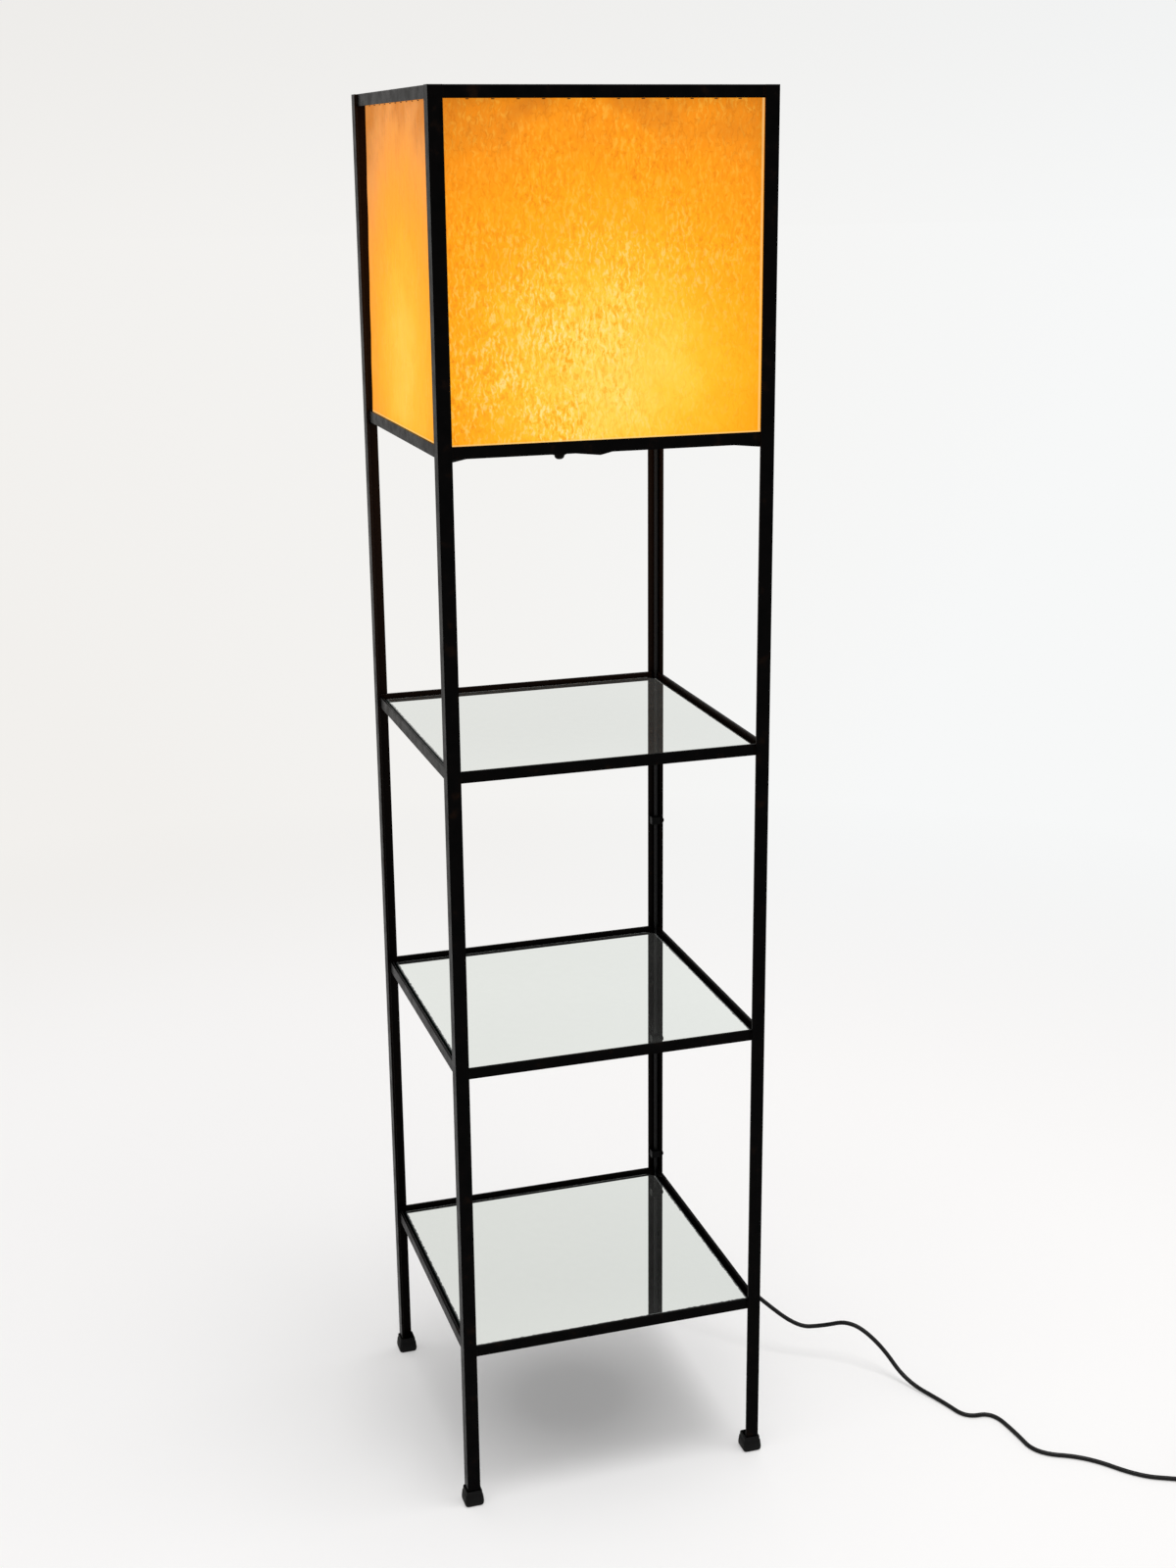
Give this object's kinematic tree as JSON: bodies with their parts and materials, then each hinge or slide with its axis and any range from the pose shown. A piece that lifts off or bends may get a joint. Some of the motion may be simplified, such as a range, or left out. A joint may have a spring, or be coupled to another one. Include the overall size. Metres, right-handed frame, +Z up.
{
  "type": "floor lamp with shelves",
  "caption": "Square floor lamp of welded black angle iron with loose mirrored glass shelves, amber fibreglass panels round a bulb at the top, rubber tips and a mains cord down one post.",
  "frame": {"origin": "on the floor, under the middle of the four posts", "axes": "+Z up, the front of the lamp faces -Y, +X to the right as seen from the front"},
  "size_m": [0.9586, 0.618, 1.564],
  "materials": {
    "black_iron": "satin",
    "amber_fibreglass": "satin",
    "black_rubber": "matte",
    "stained_wood": "matte",
    "dark_wire": "satin",
    "mirror_glass": "polished",
    "plated_steel": "satin",
    "blackened_steel": "satin",
    "holder_brass": "satin",
    "fibre_liner": "matte",
    "phenolic": "satin",
    "contact_brass": "polished",
    "black_plastic": "satin",
    "bulb_glass": "frosted",
    "bulb_aluminium": "satin",
    "tungsten": "satin",
    "black_flex": "satin",
    "tie_strap": "matte",
    "plug_vinyl": "satin"
  },
  "bodies": {
    "frame": {"post_front_left": "black_iron", "post_front_right": "black_iron", "post_back_right": "black_iron", "post_back_left": "black_iron", "top_rail_front": "black_iron", "top_rail_right": "black_iron", "top_rail_back": "black_iron", "top_rail_left": "black_iron", "shade_rail_front": "black_iron", "shade_rail_right": "black_iron", "shade_rail_back": "black_iron", "shade_rail_left": "black_iron", "upper_rail_front": "black_iron", "upper_rail_right": "black_iron", "upper_rail_back": "black_iron", "upper_rail_left": "black_iron", "middle_rail_front": "black_iron", "middle_rail_right": "black_iron", "middle_rail_back": "black_iron", "middle_rail_left": "black_iron", "lower_rail_front": "black_iron", "lower_rail_right": "black_iron", "lower_rail_back": "black_iron", "lower_rail_left": "black_iron", "weld_beads": "black_iron", "bar_upper": "black_iron", "bar_lower": "black_iron", "panel_front": "amber_fibreglass", "panel_right": "amber_fibreglass", "panel_back": "amber_fibreglass", "panel_left": "amber_fibreglass", "rubber_tips": "black_rubber", "panel_battens": "stained_wood", "panel_staples": "dark_wire", "nipple": "plated_steel", "hex_nut": "plated_steel", "cap_nut": "blackened_steel", "holder_cap": "holder_brass", "holder_shell": "holder_brass", "holder_sleeve": "fibre_liner", "switch_block": "phenolic", "contact_tongue": "contact_brass", "screw_shell": "contact_brass", "cord_bushing": "black_plastic", "cord_run": "black_flex", "cord_free": "black_flex", "cord_coil": "black_flex", "cord_clips": "black_plastic", "clip_screws": "plated_steel", "coil_tie": "tie_strap", "plug_body": "plug_vinyl", "plug_blades": "contact_brass"},
    "upper_shelf": {"mirror_upper": "mirror_glass"},
    "middle_shelf": {"mirror_middle": "mirror_glass"},
    "lower_shelf": {"mirror_lower": "mirror_glass"},
    "knob": {"switch_knob": "black_plastic"},
    "bulb": {"bulb_glass": "bulb_glass", "bulb_cap": "bulb_aluminium", "bulb_tip": "contact_brass", "bulb_filament": "tungsten"}
  },
  "joints": [
    {"name": "upper_shelf_lift", "type": "slide", "parent": "frame", "child": "upper_shelf", "axis": [0, 0, 1], "range_m": [0, 0.06]},
    {"name": "middle_shelf_lift", "type": "slide", "parent": "frame", "child": "middle_shelf", "axis": [0, 0, 1], "range_m": [0, 0.06]},
    {"name": "lower_shelf_lift", "type": "slide", "parent": "frame", "child": "lower_shelf", "axis": [0, 0, 1], "range_m": [0, 0.06]},
    {"name": "switch_turn", "type": "hinge", "parent": "frame", "child": "knob", "pos_m": [0, -0.02, 1.2115], "axis": [0, -1, 0], "continuous": true},
    {"name": "bulb_unscrew", "type": "hinge", "parent": "frame", "child": "bulb", "pos_m": [0, 0, 1.24], "axis": [0, 0, 1], "range_deg": [0, 1080]}
  ]
}
